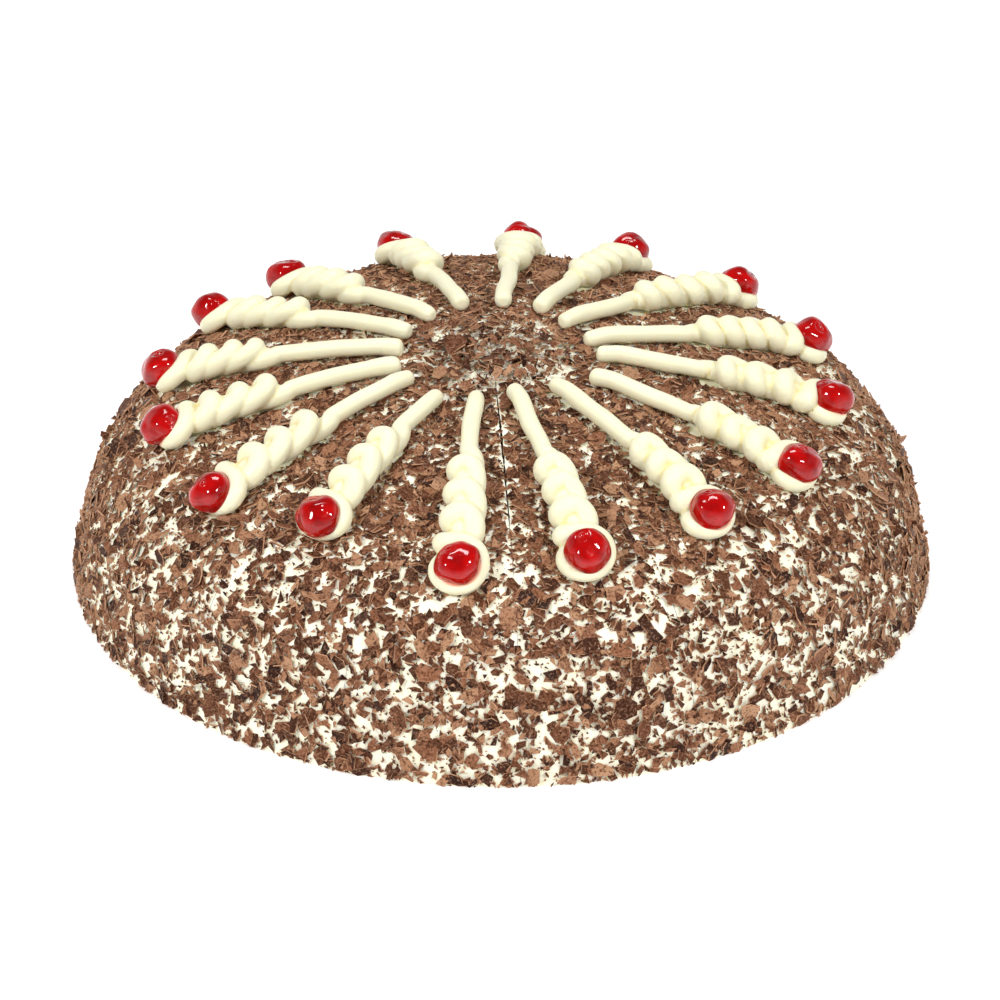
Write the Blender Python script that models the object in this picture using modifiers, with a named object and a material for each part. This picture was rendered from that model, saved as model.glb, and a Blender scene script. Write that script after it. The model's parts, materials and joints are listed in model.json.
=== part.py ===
"""Cherry cream torte: a low dome of whipped cream and sponge, cut into sixteen slices.

The cream is strewn with dark chocolate flakes. Each slice carries one rope of piped
cream, a plain tail from the middle that turns into a coil of flat loops towards the
edge, and a glace cherry pressed into the coil's last loop.

Metres, +Z up. The origin is the centre of the flat underside. Bearings are in degrees,
counterclockwise from +X, about the piping centre.
"""

import math
import random
from itertools import combinations

import bmesh
import bpy
from mathutils import Matrix, Vector

MM = 0.001

# Dome of cream, as a meridian of two arcs and a straight side
CAKE_HEIGHT = 72.8 * MM
TOP_RADIUS = 361.0 * MM
TOP_END_SLOPE = math.radians(17.0)
SHOULDER_RADIUS = 48.7 * MM
SIDE_SLOPE = math.radians(76.6)
TURN_STEPS = 48
TOP_STEPS = 5
SHOULDER_STEPS = 6

# Portions
SLICES = 16
SLICE_ANGLE = 360.0 / SLICES
PIPING_CENTRE = Vector((-3.0 * MM, 0.0))
FIRST_CUT = -109.0
CUT_GAP = 0.3 * MM

# Piped ropes: the nominal bearing of the first cherry, then how each rope was laid, as
# (cherry bearing off nominal in degrees, cherry reach in mm, tail bearing off nominal
# in degrees, tail reach in mm, coil reach in mm, loops before the cherry's, reach of the
# cherry's loop past the cherry's foot in mm)
FIRST_CHERRY = -95.5
ROPES = (
    (0.5, 111.5, -4, 32, 73, 3, 7.6),
    (-2, 110, -3, 29, 74, 3, 7.6),
    (-1, 107.5, 0, 31, 76, 3, 7.6),
    (-1.5, 110, 0, 37, 79, 3, 7.2),
    (-0.5, 110, 1.5, 35, 76, 3, 7.0),
    (0, 111, -3, 32, 74, 4, 7.0),
    (1.5, 112.5, 1, 31, 68, 4, 7.0),
    (2.5, 112, 1.5, 36, 71, 4, 6.5),
    (0.5, 117, 0, 37, 81, 3, 5.5),
    (0.5, 111, -1, 37, 77, 3, 5.0),
    (3, 105, -2, 33, 73, 3, 4.4),
    (-2, 109, 1.5, 31, 75, 3, 4.4),
    (-1, 108.5, 2, 30, 78, 3, 4.4),
    (-2.5, 107.5, 1, 32, 75, 3, 4.6),
    (-1, 109.5, -5, 32, 73, 3, 4.8),
    (-2.5, 103, -1.5, 35, 66, 3, 5.8),
)
ROPE_LIFT = 0.45 * MM
TAIL_WIDTH = 6.8 * MM
TAIL_HEIGHT = 7.2 * MM
TAIL_STEPS = 2
TAIL_END_WIDTH = 0.72
TAIL_END_HEIGHT = 0.78
TAIL_ROUNDING = 1.4 * MM
COIL_WIDTH = 14.6 * MM
COIL_HEIGHT = 11.5 * MM
LOOP_SLANT = 2.2 * MM
LOOP_RADIUS = 3.7 * MM
VALLEY_PLACE = 0.6
VALLEY_PINCH = (0.18, 0.05)
VALLEY_HEIGHT = 0.78
LOOP_SPREAD = 0.06
COLLAR_RADIUS = 9.6 * MM
COLLAR_HEIGHT = 5.4 * MM
COLLAR_BACK = 4.2 * MM
COLLAR_BACK_WIDTH = 0.93
COLLAR_BACK_HEIGHT = 1.35
# Past the cherry's foot, as shares of the loop's reach, width and height
COLLAR_SECTIONS = ((0.1, 1.0, 1.0), (0.65, 0.78, 0.8), (1.0, 0.35, 0.45))
RING_POINTS = 8
RING_FOOT = math.radians(-38.0)
ROPE_SEED = 5

# Cherries
CHERRY_WIDTH = 14.6 * MM
CHERRY_THICKNESS = 13.0 * MM
CHERRY_HEIGHT = 7.1 * MM
CHERRY_UNEVEN = 0.04
DENT_DEPTH = 0.2
DENT_SPREAD = 0.7
DENT_ANGLE = math.radians(42.0)
SOCKET_SCALE = 1.07
CHERRY_SEED = 11

# Chocolate flakes, the largest ones, fused to the cream they lie on
FLAKES_PER_SLICE = 13
FLAKE_LENGTH = (11.0 * MM, 6.5 * MM)
HEAP_FLAKES_PER_SLICE = 2
HEAP_FLAKE_LENGTH = (6.0 * MM, 4.5 * MM)
HEAP_REACH = 29.0 * MM
FLAKE_ASPECT = (0.45, 0.75)
FLAKE_THICKNESS = 1.0 * MM
FLAKE_TILT = (math.radians(14.0), math.radians(34.0))
FLAKE_SKEW = 0.22
FLAKE_SINK = 0.1 * MM
FLAKE_CLEARANCE = 0.6 * MM
FLAKE_TRIES = 14
FLAKE_SEED = 23

# (colour, roughness)
FINISHES = {
    "whipped cream": ((0.93, 0.88, 0.68), 0.5),
    "piped cream": ((0.94, 0.91, 0.74), 0.4),
    "dark chocolate": ((0.10, 0.05, 0.04), 0.45),
    "glace cherry": ((0.50, 0.01, 0.02), 0.15),
}

# Lengths that follow from the meridian
TOP_END = TOP_RADIUS * math.sin(TOP_END_SLOPE)
TOP_DROP = TOP_RADIUS * (1 - math.cos(TOP_END_SLOPE))
SHOULDER_END = TOP_END + SHOULDER_RADIUS * (math.sin(SIDE_SLOPE) - math.sin(TOP_END_SLOPE))
SHOULDER_DROP = SHOULDER_RADIUS * (math.cos(TOP_END_SLOPE) - math.cos(SIDE_SLOPE))
SIDE_TOP = CAKE_HEIGHT - TOP_DROP - SHOULDER_DROP
FOOT_RADIUS = SHOULDER_END + SIDE_TOP / math.tan(SIDE_SLOPE)
TOP_TRAVEL = TOP_RADIUS * TOP_END_SLOPE
SHOULDER_TRAVEL = TOP_TRAVEL + SHOULDER_RADIUS * (SIDE_SLOPE - TOP_END_SLOPE)
SIDE_TRAVEL = SHOULDER_TRAVEL + SIDE_TOP / math.sin(SIDE_SLOPE)


def clear_scene():
    for obj in list(bpy.data.objects):
        bpy.data.objects.remove(obj, do_unlink=True)


def new_collection(name):
    collection = bpy.data.collections.new(name)
    bpy.context.scene.collection.children.link(collection)
    return collection


def finish(name):
    """The Principled material of this name."""
    if name in bpy.data.materials:
        return bpy.data.materials[name]
    colour, roughness = FINISHES[name]
    material = bpy.data.materials.new(name)
    material.use_nodes = True
    shader = material.node_tree.nodes["Principled BSDF"]
    shader.inputs["Base Color"].default_value = (*colour, 1.0)
    shader.inputs["Roughness"].default_value = roughness
    shader.inputs["Metallic"].default_value = 0.0
    material.diffuse_color = (*colour, 1.0)
    return material


def object_from(bm, name, material, collection):
    """A named object that holds the finished bmesh."""
    mesh = bpy.data.meshes.new(name)
    bmesh.ops.recalc_face_normals(bm, faces=bm.faces[:])
    bm.to_mesh(mesh)
    bm.free()
    mesh.materials.append(finish(material))
    obj = bpy.data.objects.new(name, mesh)
    collection.objects.link(obj)
    return obj


def apply_modifiers(obj):
    """The object with its modifiers worked into its mesh."""
    graph = bpy.context.evaluated_depsgraph_get()
    mesh = bpy.data.meshes.new_from_object(obj.evaluated_get(graph))
    obj.modifiers.clear()
    obj.data = mesh


def direction(bearing):
    """The level unit vector at this bearing in degrees."""
    angle = math.radians(bearing)
    return Vector((math.cos(angle), math.sin(angle)))


def meridian_point(slope):
    """Radius and height where the dome's surface has this slope."""
    if slope <= TOP_END_SLOPE:
        radius = TOP_RADIUS * math.sin(slope)
        return radius, CAKE_HEIGHT - TOP_RADIUS * (1 - math.cos(slope))
    radius = TOP_END + SHOULDER_RADIUS * (math.sin(slope) - math.sin(TOP_END_SLOPE))
    drop = SHOULDER_RADIUS * (math.cos(TOP_END_SLOPE) - math.cos(slope))
    return radius, CAKE_HEIGHT - TOP_DROP - drop


def slope_at(radius):
    """The dome's slope at this radius from its axis."""
    if radius <= TOP_END:
        return math.asin(radius / TOP_RADIUS)
    sine = math.sin(TOP_END_SLOPE) + (radius - TOP_END) / SHOULDER_RADIUS
    return min(math.asin(min(sine, 1.0)), SIDE_SLOPE)


def on_cream(level):
    """The point of the cream over a level position, and the normal there."""
    radius = max(level.length, 1e-9)
    outward = level / radius
    slope = slope_at(radius)
    if radius > SHOULDER_END:
        height = (FOOT_RADIUS - radius) * math.tan(SIDE_SLOPE)
    else:
        height = meridian_point(slope)[1]
    normal = Vector((*(outward * math.sin(slope)), math.cos(slope)))
    return Vector((*level, height)), normal


# ---------------------------------------------------------------- slices


def dome(collection):
    """The whole cake under its toppings, a turned profile."""
    slopes = [TOP_END_SLOPE * i / TOP_STEPS for i in range(TOP_STEPS + 1)]
    for i in range(1, SHOULDER_STEPS + 1):
        slopes.append(TOP_END_SLOPE + (SIDE_SLOPE - TOP_END_SLOPE) * i / SHOULDER_STEPS)
    outline = [meridian_point(slope) for slope in slopes]
    outline += [(FOOT_RADIUS, 0.0), (0.0, 0.0)]
    profile = bpy.data.meshes.new("profile")
    corners = [(radius, 0.0, height) for radius, height in outline]
    edges = [(i, i + 1) for i in range(len(corners) - 1)]
    profile.from_pydata(corners, edges, [])
    whole = bpy.data.objects.new("whole_cake", profile)
    collection.objects.link(whole)
    turn = whole.modifiers.new("turn", "SCREW")
    turn.steps = TURN_STEPS
    turn.render_steps = TURN_STEPS
    turn.use_merge_vertices = True
    turn.merge_threshold = 1e-6
    apply_modifiers(whole)
    return whole


def cut_away(bm, point, outward):
    """Cuts the closed mesh at a plane, drops the outer part and closes the cut."""
    geometry = bm.verts[:] + bm.edges[:] + bm.faces[:]
    bmesh.ops.bisect_plane(
        bm, geom=geometry, plane_co=point, plane_no=outward, clear_outer=True, dist=1e-7
    )
    rim = [edge for edge in bm.edges if edge.is_boundary]
    bmesh.ops.holes_fill(bm, edges=rim)


def cut_planes(number):
    """A point and the outward normal of the two cuts that bound a slice."""
    planes = []
    for side in (0, 1):
        bearing = FIRST_CUT + SLICE_ANGLE * (number + side)
        along = direction(bearing)
        across = Vector((-along.y, along.x)) * (1 if side else -1)
        planes.append((PIPING_CENTRE - across * CUT_GAP / 2, across))
    return planes


def bare_slice(whole, number, collection):
    bm = bmesh.new()
    bm.from_mesh(whole.data)
    for point, across in cut_planes(number):
        cut_away(bm, point.to_3d(), across.to_3d())
    return object_from(bm, f"slice_{number + 1:02d}", "whipped cream", collection)


# ---------------------------------------------------------------- piped ropes


class Rope:
    """Where one rope lies: a straight run in plan, from its tail to its cherry."""

    def __init__(self, number):
        bearing_off, reach, tail_off, tail_reach, coil_reach, loops, past = ROPES[number]
        nominal = FIRST_CHERRY + SLICE_ANGLE * number
        self.start = PIPING_CENTRE + direction(nominal + tail_off) * tail_reach * MM
        self.cherry = PIPING_CENTRE + direction(nominal + bearing_off) * reach * MM
        self.length = (self.cherry - self.start).length
        self.along = (self.cherry - self.start) / self.length
        self.across = Vector((-self.along.y, self.along.x))
        self.coil = (coil_reach - tail_reach) * MM
        self.loops = loops
        self.pitch = (self.length - CHERRY_WIDTH / 2 - self.coil) / loops
        self.past = past * MM

    def frame(self, travel):
        """Point, forward, leftward and normal on the cream, this far along in plan."""
        point, normal = on_cream(self.start + self.along * travel)
        left = normal.cross(self.along.to_3d()).normalized()
        return point, left.cross(normal), left, normal

    def half_width(self, travel):
        """Half the room that the rope takes at this place."""
        if travel < -FLAKE_CLEARANCE or travel > self.length + COLLAR_RADIUS:
            return 0.0
        if travel < self.coil - self.pitch / 2:
            return TAIL_WIDTH / 2
        if travel < self.length - COLLAR_RADIUS:
            return COIL_WIDTH / 2 * (1 + LOOP_SPREAD)
        return COLLAR_RADIUS


def ring_stations(rope, draw):
    """(travel in plan, width, height, lean, pinch) of each cross-section of a rope.

    A section of the coil leans the way its strand runs: it is furthest in on the crest,
    comes out a little towards the right and a lot towards the left.
    """
    end_width = TAIL_WIDTH * TAIL_END_WIDTH
    end_height = TAIL_HEIGHT * TAIL_END_HEIGHT
    stations = [
        (0.0, end_width, end_height, 0.0, 0.0),
        (TAIL_ROUNDING, TAIL_WIDTH, TAIL_HEIGHT, 0.0, 0.0),
    ]
    tail_end = rope.coil - rope.pitch / 4
    for i in range(1, TAIL_STEPS + 1):
        stations.append((tail_end * i / TAIL_STEPS, TAIL_WIDTH, TAIL_HEIGHT, 0.0, 0.0))
    for i in range(rope.loops):
        width = COIL_WIDTH * (1 + draw.uniform(-LOOP_SPREAD, LOOP_SPREAD))
        height = COIL_HEIGHT * (1 + draw.uniform(-LOOP_SPREAD, LOOP_SPREAD))
        crest = rope.coil + rope.pitch * i
        valley = crest + rope.pitch * VALLEY_PLACE
        stations.append((crest, width, height, 1.0, 0.0))
        stations.append((valley, width, height * VALLEY_HEIGHT, 1.0, 1.0))
    back_width = 2 * COLLAR_RADIUS * COLLAR_BACK_WIDTH
    back_height = COLLAR_HEIGHT * COLLAR_BACK_HEIGHT
    stations.append((rope.length - COLLAR_BACK, back_width, back_height, 0.0, 0.0))
    for share, wide, high in COLLAR_SECTIONS:
        travel = rope.length + share * rope.past
        stations.append((travel, 2 * COLLAR_RADIUS * wide, COLLAR_HEIGHT * high, 0.0, 0.0))
    return stations


def add_ring(bm, frame, width, height, lean, pinch):
    """One cross-section: a flat foot on the cream under a rounded top."""
    point, forward, left, normal = frame
    centre = height * math.sin(-RING_FOOT) / (1 + math.sin(-RING_FOOT))
    ring = []
    for i in range(RING_POINTS):
        angle = RING_FOOT + (math.pi - 2 * RING_FOOT) * i / (RING_POINTS - 1)
        side = math.cos(angle)
        rise = centre + (height - centre) * math.sin(angle)
        reach = width / 2 * side * (1 - pinch * VALLEY_PINCH[side > 0])
        outward = lean * (LOOP_SLANT * side + LOOP_RADIUS * side * side)
        place = point + normal * (ROPE_LIFT + max(rise, 0.0))
        ring.append(bm.verts.new(place + left * reach + forward * outward))
    return ring


def cream_rope(rope, number, draw, collection):
    bm = bmesh.new()
    rings = []
    for travel, width, height, lean, pinch in ring_stations(rope, draw):
        rings.append(add_ring(bm, rope.frame(travel), width, height, lean, pinch))
    for inner, outer in zip(rings, rings[1:]):
        for i in range(RING_POINTS):
            j = (i + 1) % RING_POINTS
            bm.faces.new((inner[i], inner[j], outer[j], outer[i]))
    bm.faces.new(rings[0])
    bm.faces.new(rings[-1])
    name = f"cream_rope_{number + 1:02d}"
    return object_from(bm, name, "piped cream", collection)


# ---------------------------------------------------------------- cherries


def cherry(rope, number, draw, collection):
    """A slightly uneven ball with the dent where its stone was pushed out."""
    bm = bmesh.new()
    bmesh.ops.create_icosphere(bm, subdivisions=2, radius=1.0)
    off_top = [draw.uniform(-DENT_SPREAD, DENT_SPREAD) for _ in range(2)]
    dent = Vector((*off_top, 1.0)).normalized()
    for vert in bm.verts:
        size = 1 + draw.uniform(-CHERRY_UNEVEN, 0.0)
        off = vert.co.angle(dent)
        if off < DENT_ANGLE:
            size -= DENT_DEPTH * (1 - off / DENT_ANGLE)
        vert.co = vert.co * size
        vert.co.x *= CHERRY_WIDTH / 2
        vert.co.y *= CHERRY_WIDTH / 2
        vert.co.z *= CHERRY_THICKNESS / 2
    fruit = object_from(bm, f"cherry_{number + 1:02d}", "glace cherry", collection)
    point, forward, left, normal = rope.frame(rope.length)
    turn = Matrix((forward, left, normal)).transposed()
    fruit.location = point + normal * CHERRY_HEIGHT
    fruit.rotation_euler = turn.to_euler()
    return fruit


def cut_socket(rope_object, fruit, helpers):
    """Takes the cherry's room, and a little clearance, out of the rope's last loop."""
    cutter = bpy.data.objects.new(f"{fruit.name}_room", fruit.data.copy())
    helpers.objects.link(cutter)
    cutter.location = fruit.location
    cutter.rotation_euler = fruit.rotation_euler
    cutter.scale = (SOCKET_SCALE,) * 3
    cutter.hide_render = True
    cutter.display_type = "WIRE"
    cut = rope_object.modifiers.new("socket", "BOOLEAN")
    cut.operation = "DIFFERENCE"
    cut.object = cutter


# ---------------------------------------------------------------- chocolate flakes


def flake_corners(place, normal, length, draw):
    """The corners of a thin slanting shard, half sunk in the cream at this place."""
    width = length * draw.uniform(*FLAKE_ASPECT)
    spin = Matrix.Rotation(draw.uniform(0, 2 * math.pi), 4, "Z")
    tilt = Matrix.Rotation(draw.uniform(*FLAKE_TILT), 4, "Y")
    upright = normal.to_track_quat("Z", "Y").to_matrix().to_4x4()
    turn = upright @ spin @ tilt
    corners = {}
    for x in (-1, 1):
        for y in (-1, 1):
            skew_x = draw.uniform(-FLAKE_SKEW, FLAKE_SKEW)
            skew_y = draw.uniform(-FLAKE_SKEW, FLAKE_SKEW)
            for z in (-1, 1):
                corner = Vector((
                    (x + skew_x) * length / 2,
                    (y + skew_y) * width / 2,
                    z * FLAKE_THICKNESS / 2,
                ))
                corners[x, y, z] = place - normal * FLAKE_SINK + turn @ corner
    return corners


def flake_fits(corners, number, rope):
    """Whether a flake stays on its slice, clear of the rope and of the underside."""
    middles = [(one + other) / 2 for one, other in combinations(corners.values(), 2)]
    for probe in list(corners.values()) + middles:
        level = probe.to_2d()
        if probe.z < FLAKE_CLEARANCE:
            return False
        for point, across in cut_planes(number):
            if (level - point).dot(across) > -FLAKE_CLEARANCE:
                return False
        offset = level - rope.start
        room = rope.half_width(offset.dot(rope.along))
        if room and abs(offset.dot(rope.across)) < room + FLAKE_CLEARANCE:
            return False
    return True


def radius_after(travel):
    """The radius reached this far down the meridian from the top centre."""
    if travel < TOP_TRAVEL:
        return meridian_point(travel / TOP_RADIUS)[0]
    if travel < SHOULDER_TRAVEL:
        return meridian_point(TOP_END_SLOPE + (travel - TOP_TRAVEL) / SHOULDER_RADIUS)[0]
    return SHOULDER_END + (travel - SHOULDER_TRAVEL) * math.cos(SIDE_SLOPE)


def random_place(number, reach, draw):
    """A random level place near a slice, even over the surface out to this reach."""
    bearing = FIRST_CUT + SLICE_ANGLE * (number + draw.random())
    while True:
        radius = radius_after(draw.uniform(0.0, reach))
        if draw.random() < radius / FOOT_RADIUS:
            return direction(bearing) * radius


def scatter(number, rope, count, lengths, reach, placed, draw):
    """Corner sets of this many flakes, each the best spaced of a few fitting tries."""
    found = []
    for i in range(count):
        length = lengths[0] + (lengths[1] - lengths[0]) * i / max(count - 1, 1)
        tries = []
        while len(tries) < FLAKE_TRIES:
            place, normal = on_cream(random_place(number, reach, draw))
            corners = flake_corners(place, normal, length, draw)
            if flake_fits(corners, number, rope):
                gap = min(((place - other).length for other in placed), default=1.0)
                tries.append((gap, len(tries), place, corners))
        gap, _, place, corners = max(tries)
        placed.append(place)
        found.append(corners)
    return found


def flake_object(corners, helpers):
    bm = bmesh.new()
    bmesh.ops.create_cube(bm, size=2.0)
    for vert in bm.verts:
        vert.co = corners[tuple(round(part) for part in vert.co)]
    return object_from(bm, "flake", "dark chocolate", helpers)


def fuse_flakes(piece, flakes):
    """Joins loose flakes to a slice as one solid, then removes them."""
    pile = new_collection("flakes_to_fuse")
    for corners in flakes:
        flake_object(corners, pile)
    join = piece.modifiers.new("flakes", "BOOLEAN")
    join.operation = "UNION"
    join.operand_type = "COLLECTION"
    join.collection = pile
    join.solver = "EXACT"
    join.material_mode = "TRANSFER"
    apply_modifiers(piece)
    for flake in list(pile.objects):
        bpy.data.objects.remove(flake, do_unlink=True)
    bpy.data.collections.remove(pile)


def main():
    clear_scene()
    torte = new_collection("cherry_cream_torte")
    helpers = new_collection("helpers")
    whole = dome(helpers)
    rope_draw = random.Random(ROPE_SEED)
    cherry_draw = random.Random(CHERRY_SEED)
    flake_draw = random.Random(FLAKE_SEED)
    placed = []
    for number in range(SLICES):
        rope = Rope(number)
        piece = bare_slice(whole, number, torte)
        piping = cream_rope(rope, number, rope_draw, torte)
        fruit = cherry(rope, number, cherry_draw, torte)
        cut_socket(piping, fruit, helpers)
        heap = scatter(
            number, rope, HEAP_FLAKES_PER_SLICE, HEAP_FLAKE_LENGTH, HEAP_REACH, placed, flake_draw
        )
        strewn = scatter(
            number, rope, FLAKES_PER_SLICE, FLAKE_LENGTH, SIDE_TRAVEL, placed, flake_draw
        )
        fuse_flakes(piece, heap + strewn)
    bpy.data.objects.remove(whole, do_unlink=True)


main()
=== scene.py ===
"""Looks of the cherry cream torte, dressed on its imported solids.

Whipped cream spread over sixteen cut slices, dark chocolate shards strewn on it, a rope
of piped cream on each slice and a glace cherry in each rope's last loop.
"""

import json
import math
import random

import bmesh
import bpy
import numpy as np
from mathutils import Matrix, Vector, noise

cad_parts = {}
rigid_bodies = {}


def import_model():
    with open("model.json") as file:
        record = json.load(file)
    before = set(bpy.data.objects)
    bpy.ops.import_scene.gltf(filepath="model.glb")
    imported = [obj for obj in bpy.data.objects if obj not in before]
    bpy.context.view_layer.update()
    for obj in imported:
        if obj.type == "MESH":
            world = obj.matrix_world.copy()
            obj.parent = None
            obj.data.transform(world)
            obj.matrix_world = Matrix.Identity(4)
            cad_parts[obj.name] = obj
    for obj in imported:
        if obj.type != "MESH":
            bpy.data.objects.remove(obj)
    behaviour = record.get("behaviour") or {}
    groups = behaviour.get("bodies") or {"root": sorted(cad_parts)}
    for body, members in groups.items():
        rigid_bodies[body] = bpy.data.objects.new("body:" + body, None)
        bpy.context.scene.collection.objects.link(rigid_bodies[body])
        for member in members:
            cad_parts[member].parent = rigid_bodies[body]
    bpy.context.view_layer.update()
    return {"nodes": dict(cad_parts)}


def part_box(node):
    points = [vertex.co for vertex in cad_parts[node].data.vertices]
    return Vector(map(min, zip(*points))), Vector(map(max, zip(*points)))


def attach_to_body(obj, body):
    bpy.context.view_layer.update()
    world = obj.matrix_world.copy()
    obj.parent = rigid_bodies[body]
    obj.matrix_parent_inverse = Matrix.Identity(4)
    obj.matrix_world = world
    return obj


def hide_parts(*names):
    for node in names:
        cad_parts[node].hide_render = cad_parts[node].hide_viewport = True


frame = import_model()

MM = 0.001

# Dome of cream, the same meridian as the solids have: two arcs and a straight side
CAKE_HEIGHT = 72.8 * MM
TOP_RADIUS = 361.0 * MM
TOP_END_SLOPE = math.radians(17.0)
SHOULDER_RADIUS = 48.7 * MM
SIDE_SLOPE = math.radians(76.6)
STATION_SPACING = 1.3 * MM

# Portions
SLICES = 16
SLICE_ANGLE = 360.0 / SLICES
PIPING_CENTRE = Vector((-3.0 * MM, 0.0))
FIRST_CUT = -109.0
HIDDEN_BY_TAIL, HIDDEN_BY_COIL, HIDDEN_BY_COLLAR = 0.5 * MM, 3.2 * MM, 5.0 * MM
KNIFE_GAP = 0.12 * MM
OPEN_CUT_GAP = 0.85 * MM
SLICE_COLUMNS = 28
EDGE_DIP = 0.25 * MM
EDGE_DIP_WIDTH = 0.9 * MM
SHARP_ANGLE = math.radians(50)

# A slice's columns: part evenly spaced, part crowded towards its two cuts
EVEN_COLUMNS, CROWDED_COLUMNS = 0.4, 0.6

# How the open cut's width varies: two waves, and its least and mean share of the full gap
GAP_SLOW_WAVE, GAP_FAST_WAVE = 6 * MM, 1 * MM
GAP_LEAST, GAP_MEAN = 0.15, 0.8

# Unevenness of the spread cream, as (depth, width of one wave), full above this height
SPREAD_WAVES = ((0.55 * MM, 15.0 * MM), (0.25 * MM, 5.5 * MM), (0.1 * MM, 1.9 * MM))
SPREAD_FULL_ABOVE = 6.0 * MM

# Where the knife's line stays clear of shards: all along the one cut that gapes, between
# two distances, and in places on the others, where a slow noise along the cut is high
OPEN_CUT = 1
OPEN_FROM, OPEN_TO = 18.0 * MM, 96.0 * MM
PARTLY_OPEN_LEVEL = 0.2
PARTLY_OPEN_TO = 88.0 * MM
OPEN_STRETCH = 17.0 * MM
NO_CUT_NEAR = 60.0 * MM

# Share of the shards' full density on the side, what the top adds, and a barer ring
# just outside the heap in the middle
SIDE_COVER, TOP_COVER = 0.6, 0.2
BARE_RING, BARE_RING_WIDTH, BARE_RING_SHARE = 27.0 * MM, 7.0 * MM, 0.3
HEAP_EDGE, HEAP_FADE, HEAP_RISE = 31 * MM, 9 * MM, 3.2 * MM
TOP_EDGE, TOP_FADE = 112 * MM, 20 * MM
STREWN_COLUMNS = 420
PATCH_WIDTH = 4.5 * MM
SHARD_OVERHANG = 1.2 * MM
SHAPES_PER_KIND = 9
SMALL_FAVOUR = 1.25
SHARD_WIDTHS, SHARD_THICKNESSES = (0.75, 1.1), (0.7, 1.3)
SHARD_LIFT = 0.2
TABLE_CLEARANCE = 0.1 * MM

# Piped ropes
TAIL_RADIUS = 2.95 * MM
TAIL_CENTRE = 4.1 * MM
TAIL_WOBBLE = 0.7 * MM
TAIL_UNEVEN = 0.07
TAIL_BEND_WAVE, TAIL_THICKNESS_WAVE = 14 * MM, 8 * MM
TAIL_OVERLAP = 2 * MM
COIL_STRAND = 3.58 * MM
LOOPS = (3, 3, 3, 3, 3, 4, 4, 4, 3, 3, 3, 3, 3, 3, 3, 3)
TAIL_END = 0.5
TAIL_ROUNDING = (1.6 * MM, 3.6 * MM)
TAIL_START = -1.2 * MM
TAIL_FALL, TAIL_TIP, TAIL_TIP_CENTRE = 7.0 * MM, (0.9, 1.12), 3.3 * MM
LOOP_REACH = 3.7 * MM
LOOP_SLANT = 2.2 * MM
LOOP_SIDE = 3.6 * MM
LOOP_UNEVEN = 0.06
FIRST_SWING = 0.55
CREST_SCATTER_MM = 0.4
FIRST_LOOP, LAST_LOOP = 0.86, 1.06
LOW_CENTRE = 3.5 * MM
HIGH_CENTRE = 7.7 * MM
CORE_CENTRE, CORE_RADIUS = 4.3 * MM, 4.3 * MM
CORE_END = 0.6
COLLAR_STRAND = 2.95 * MM
COLLAR_INNER, COLLAR_SIDE = 6.9 * MM, 6.5 * MM
COLLAR_LOW_CENTRE = 2.8 * MM
ENTRY_SIDE, ENTRY_HEIGHT, ENTRY_THICKNESS = 5.2 * MM, 0.86, 0.93
COLLAR_REACH, COLLAR_SHIFT, WIDEST_COLLAR = 4.0 * MM, 0.9, 9.1 * MM
LAST_LOOP_ROOM = 9.2 * MM
WIDE_PART = 5.0 * MM
STRAND_STEP = 0.7 * MM
STRAND_SIDES = 14
CREAM_VOXEL = 0.47 * MM
SOFTENING, CREASE_BLUR = 1, 8
ROPE_SEED = 8

# Cherries
FRUIT_HEIGHT = 7.1 * MM
FRUIT_ROOM = 7.3 * MM
FRUIT_REGROWTH = 1.12
FRUIT_RADIUS = 6.9 * MM
FRUIT_BED = 4.6 * MM
STAIN_REACH = 7.4 * MM
FRUIT_DETAIL = 4
LUMP_DEPTH, LUMP_WIDTH = 2.6 * MM, 9 * MM
FRUIT_CREASE_DEPTH, FRUIT_CREASE_WIDTH = 0.8 * MM, 9.0 * MM
STONE_HOLE_WIDTH = 2.4 * MM
RING_TURNS, RING_DEPTH, RING_FLOOR = 7.0, 0.35, 0.8
HOLE_DEPTH_MM = (0.3, 1.1)
HOLE_LEFT_RIGHT, HOLE_NEAR_FAR = (-0.9, 0.9), (-1.2, 0.4)

# Cream lets red light travel furthest under its skin
CREAM_SCATTER = (1.0, 0.85, 0.5)

# Camera, softboxes as (place, size, watts) and the walls' greys by height
CAMERA_PLACE = (-0.0004, -0.9723, 0.5762)
CAMERA_TILT = math.radians(90 - 29.87)
CAMERA_LENS, CAMERA_SENSOR = 119.45, 36.0
SOFTBOXES = {
    "left softbox": ((-0.75, -0.75, 0.95), (0.2, 0.2), 10),
    "right softbox": ((0.75, -0.65, 0.95), (0.2, 0.2), 8),
    "top softbox": ((0.0, 0.35, 1.3), (0.5, 0.32), 7),
}
LIT_POINT = (0, 0, 0.04)
TABLE_HALF = 4
WALL_GREYS = ((0.12, 1.0), (0.6, 0.12))
SKY_STRENGTH = 0.86


# The kinds of node that are used most
MATH, VECTOR_MATH = "ShaderNodeMath", "ShaderNodeVectorMath"
NOISE, MIX = "ShaderNodeTexNoise", "ShaderNodeMix"


# ---------------------------------------------------------------- helpers


def direction(bearing):
    """The level unit vector at this bearing in degrees."""
    angle = math.radians(bearing)
    return Vector((math.cos(angle), math.sin(angle)))


def linear(hex_colour):
    """An sRGB hex colour as linear RGBA."""
    parts = [int(hex_colour[i : i + 2], 16) / 255 for i in (1, 3, 5)]
    return (*(c / 12.92 if c <= 0.04045 else ((c + 0.055) / 1.055) ** 2.4 for c in parts), 1.0)


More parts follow.
